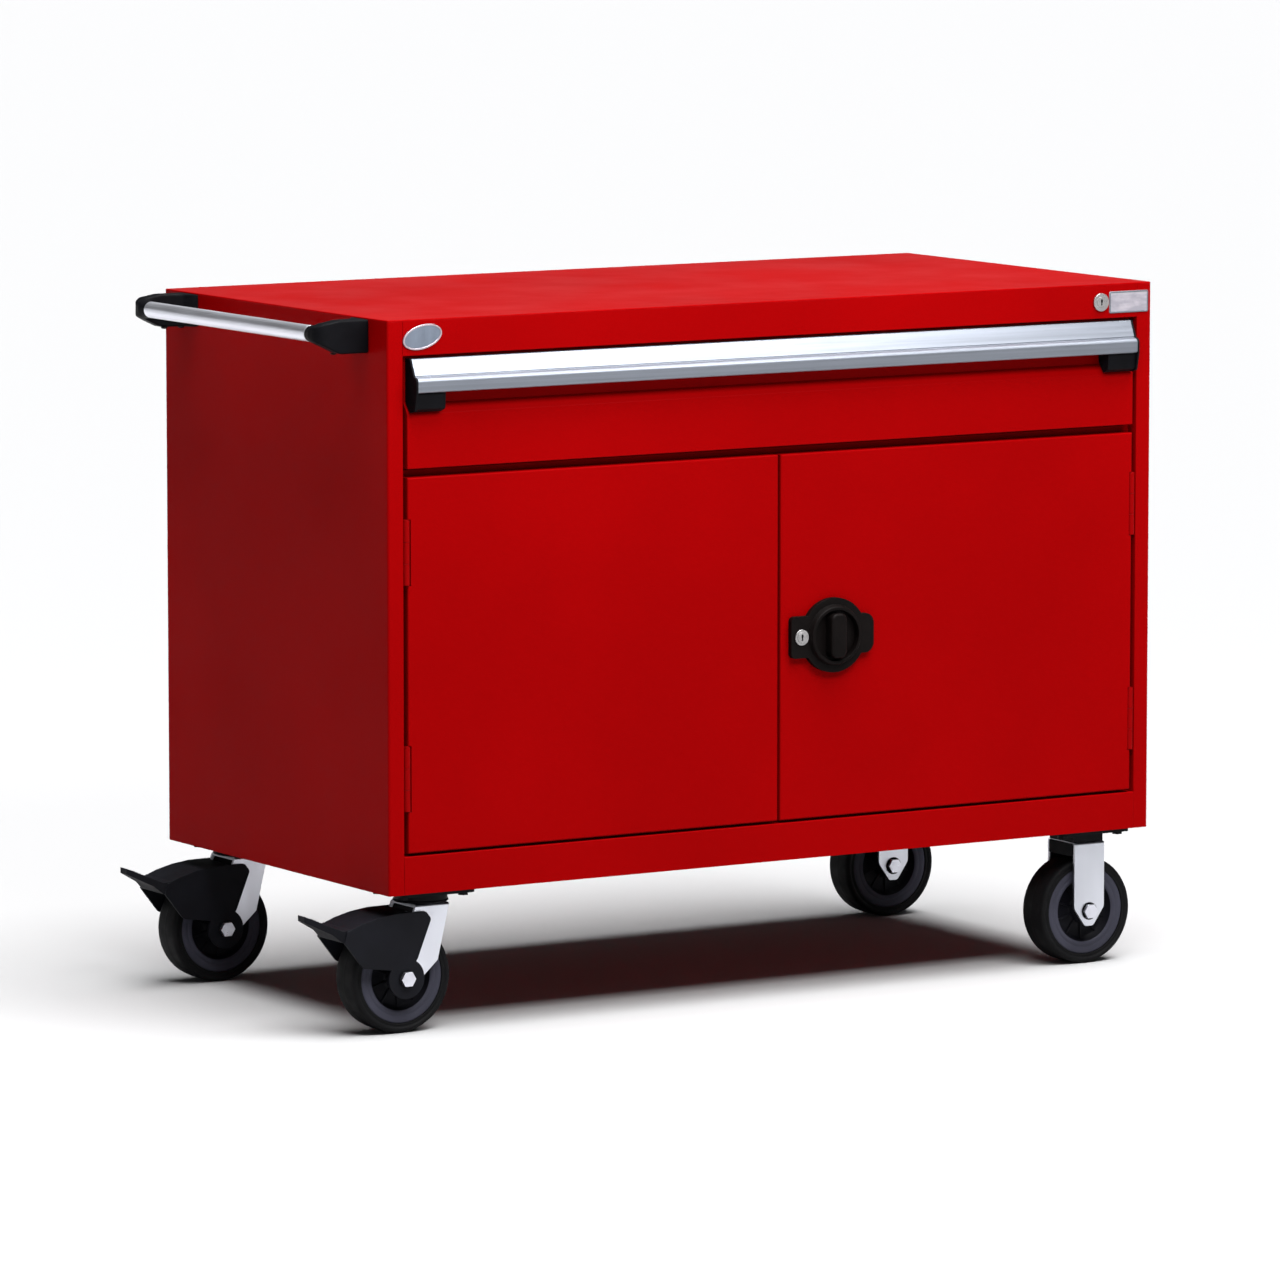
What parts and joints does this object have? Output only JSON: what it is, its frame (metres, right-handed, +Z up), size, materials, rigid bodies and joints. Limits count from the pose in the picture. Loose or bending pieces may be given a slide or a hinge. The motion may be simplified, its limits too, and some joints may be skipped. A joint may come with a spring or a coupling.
{
  "type": "mobile bench cabinet",
  "caption": "Mobile steel bench cabinet with a full-width drawer over hinged doors with a turn latch, a side push handle, and braked swivel and rigid casters.",
  "frame": {"origin": "on the floor, below the centre of the whole object's box", "axes": "+Z up; the front with the drawer and doors faces -Y; +X to the right seen from the front, with the push handle at -X"},
  "size_m": [1.3206, 0.6316, 0.9525],
  "materials": {
    "red_powder_coat": "semi-gloss powder coat",
    "red_hinge_steel": "semi-gloss powder coat on steel",
    "satin_aluminium": "satin anodised",
    "black_plastic": "fine moulded grain",
    "zinc_steel": "bright zinc plating",
    "black_steel": "black e-coat",
    "nickel_lock": "satin nickel",
    "badge_metal": "brushed, plain",
    "label_film": "plain film",
    "black_tread": "smooth tread, matt",
    "grey_core": "moulded, matt"
  },
  "bodies": {
    "housing": {"side_panel_right": "red_powder_coat", "side_panel_left": "red_powder_coat", "back_panel": "red_powder_coat", "top_panel": "red_powder_coat", "front_header": "red_powder_coat", "bottom_rail": "red_powder_coat", "cabinet_floor": "red_powder_coat", "divider": "red_powder_coat", "base_channels": "red_powder_coat", "shelf": "red_powder_coat", "shelf_clips": "zinc_steel", "catch_magnet": "black_plastic", "badge_plate": "badge_metal", "label_plate": "label_film", "push_handle_tube": "satin_aluminium", "push_handle_brackets": "black_plastic", "hinge_frame_leaves": "red_hinge_steel", "hinge_pins": "zinc_steel", "drawer_lock_barrel": "nickel_lock", "slide_outers": "zinc_steel", "caster_top_plates": "black_steel", "caster_bolts": "zinc_steel", "kingpins": "zinc_steel", "rigid_forks": "zinc_steel", "rigid_axle_bolts": "zinc_steel"},
    "left_door": {"door_left": "red_powder_coat", "door_left_hinge_leaves": "red_hinge_steel"},
    "right_door": {"door_right": "red_powder_coat", "door_right_hinge_leaves": "red_hinge_steel", "latch_escutcheon": "black_plastic", "latch_gearbox": "black_plastic", "latch_rod_guides": "black_plastic", "latch_key_barrel": "nickel_lock"},
    "latch": {"latch_knob": "black_plastic", "latch_pinion": "zinc_steel"},
    "upper_rod": {"latch_rod_upper": "zinc_steel"},
    "lower_rod": {"latch_rod_lower": "zinc_steel"},
    "door_key": {"latch_key_plug": "nickel_lock"},
    "drawer": {"drawer_front": "red_powder_coat", "drawer_tray": "red_powder_coat", "drawer_handle": "satin_aluminium", "drawer_handle_caps": "black_plastic", "slide_inners": "zinc_steel"},
    "slide_rails": {"slide_middles": "zinc_steel"},
    "drawer_key": {"drawer_lock_plug": "nickel_lock"},
    "swivel_front": {"swivel_fork_front": "zinc_steel", "swivel_axle_bolt_front": "zinc_steel"},
    "pedal_front": {"brake_pedal_front": "black_plastic"},
    "wheel_front_left": {"tyre_front_left": "black_tread", "wheel_core_front_left": "grey_core"},
    "wheel_front_right": {"tyre_front_right": "black_tread", "wheel_core_front_right": "grey_core"},
    "swivel_rear": {"swivel_fork_rear": "zinc_steel", "swivel_axle_bolt_rear": "zinc_steel"},
    "pedal_rear": {"brake_pedal_rear": "black_plastic"},
    "wheel_rear_left": {"tyre_rear_left": "black_tread", "wheel_core_rear_left": "grey_core"},
    "wheel_rear_right": {"tyre_rear_right": "black_tread", "wheel_core_rear_right": "grey_core"}
  },
  "joints": [
    {"name": "drawer_slide", "type": "slide", "parent": "housing", "child": "drawer", "axis": [0, -1, 0], "range_m": [0, 0.54]},
    {"name": "rail_slide", "type": "slide", "parent": "housing", "child": "slide_rails", "axis": [0, -1, 0], "range_m": [0, 0.27]},
    {"name": "left_door_hinge", "type": "hinge", "parent": "housing", "child": "left_door", "pos_m": [-0.5297, -0.2903, 0.4945], "axis": [0, 0, -1], "range_deg": [0, 110]},
    {"name": "right_door_hinge", "type": "hinge", "parent": "housing", "child": "right_door", "pos_m": [0.6311, -0.2903, 0.4945], "axis": [0, 0, 1], "range_deg": [0, 110]},
    {"name": "latch_turn", "type": "hinge", "parent": "right_door", "child": "latch", "pos_m": [0.1347, -0.2938, 0.4945], "axis": [0, -1, 0], "range_deg": [0, 90]},
    {"name": "upper_rod_slide", "type": "slide", "parent": "right_door", "child": "upper_rod", "axis": [0, 0, 1], "range_m": [0, 0.0142]},
    {"name": "lower_rod_slide", "type": "slide", "parent": "right_door", "child": "lower_rod", "axis": [0, 0, -1], "range_m": [0, 0.0142]},
    {"name": "door_key_turn", "type": "hinge", "parent": "right_door", "child": "door_key", "pos_m": [0.0817, -0.2938, 0.4945], "axis": [0, -1, 0], "range_deg": [0, 90]},
    {"name": "drawer_key_turn", "type": "hinge", "parent": "housing", "child": "drawer_key", "pos_m": [0.5752, -0.2938, 0.9275], "axis": [0, -1, 0], "range_deg": [0, 90]},
    {"name": "swivel_front_turn", "type": "hinge", "parent": "housing", "child": "swivel_front", "pos_m": [-0.4783, -0.2368, 0.1805], "axis": [0, 0, 1], "continuous": true},
    {"name": "pedal_front_press", "type": "hinge", "parent": "swivel_front", "child": "pedal_front", "pos_m": [-0.5213, -0.2368, 0.075], "axis": [0, -1, 0], "range_deg": [0, 12]},
    {"name": "wheel_front_left_spin", "type": "hinge", "parent": "swivel_front", "child": "wheel_front_left", "pos_m": [-0.5213, -0.2368, 0.075], "axis": [0, 1, 0], "continuous": true},
    {"name": "wheel_front_right_spin", "type": "hinge", "parent": "housing", "child": "wheel_front_right", "pos_m": [0.5797, -0.2368, 0.075], "axis": [0, 1, 0], "continuous": true},
    {"name": "swivel_rear_turn", "type": "hinge", "parent": "housing", "child": "swivel_rear", "pos_m": [-0.4783, 0.2588, 0.1805], "axis": [0, 0, 1], "continuous": true},
    {"name": "pedal_rear_press", "type": "hinge", "parent": "swivel_rear", "child": "pedal_rear", "pos_m": [-0.5213, 0.2588, 0.075], "axis": [0, -1, 0], "range_deg": [0, 12]},
    {"name": "wheel_rear_left_spin", "type": "hinge", "parent": "swivel_rear", "child": "wheel_rear_left", "pos_m": [-0.5213, 0.2588, 0.075], "axis": [0, 1, 0], "continuous": true},
    {"name": "wheel_rear_right_spin", "type": "hinge", "parent": "housing", "child": "wheel_rear_right", "pos_m": [0.5797, 0.2588, 0.075], "axis": [0, 1, 0], "continuous": true}
  ],
  "couplings": [
    {"joint": "rail_slide", "follows": "drawer_slide", "ratio": 0.5},
    {"joint": "upper_rod_slide", "follows": "latch_turn", "m_per_rad": 0.009},
    {"joint": "lower_rod_slide", "follows": "latch_turn", "m_per_rad": 0.009}
  ]
}
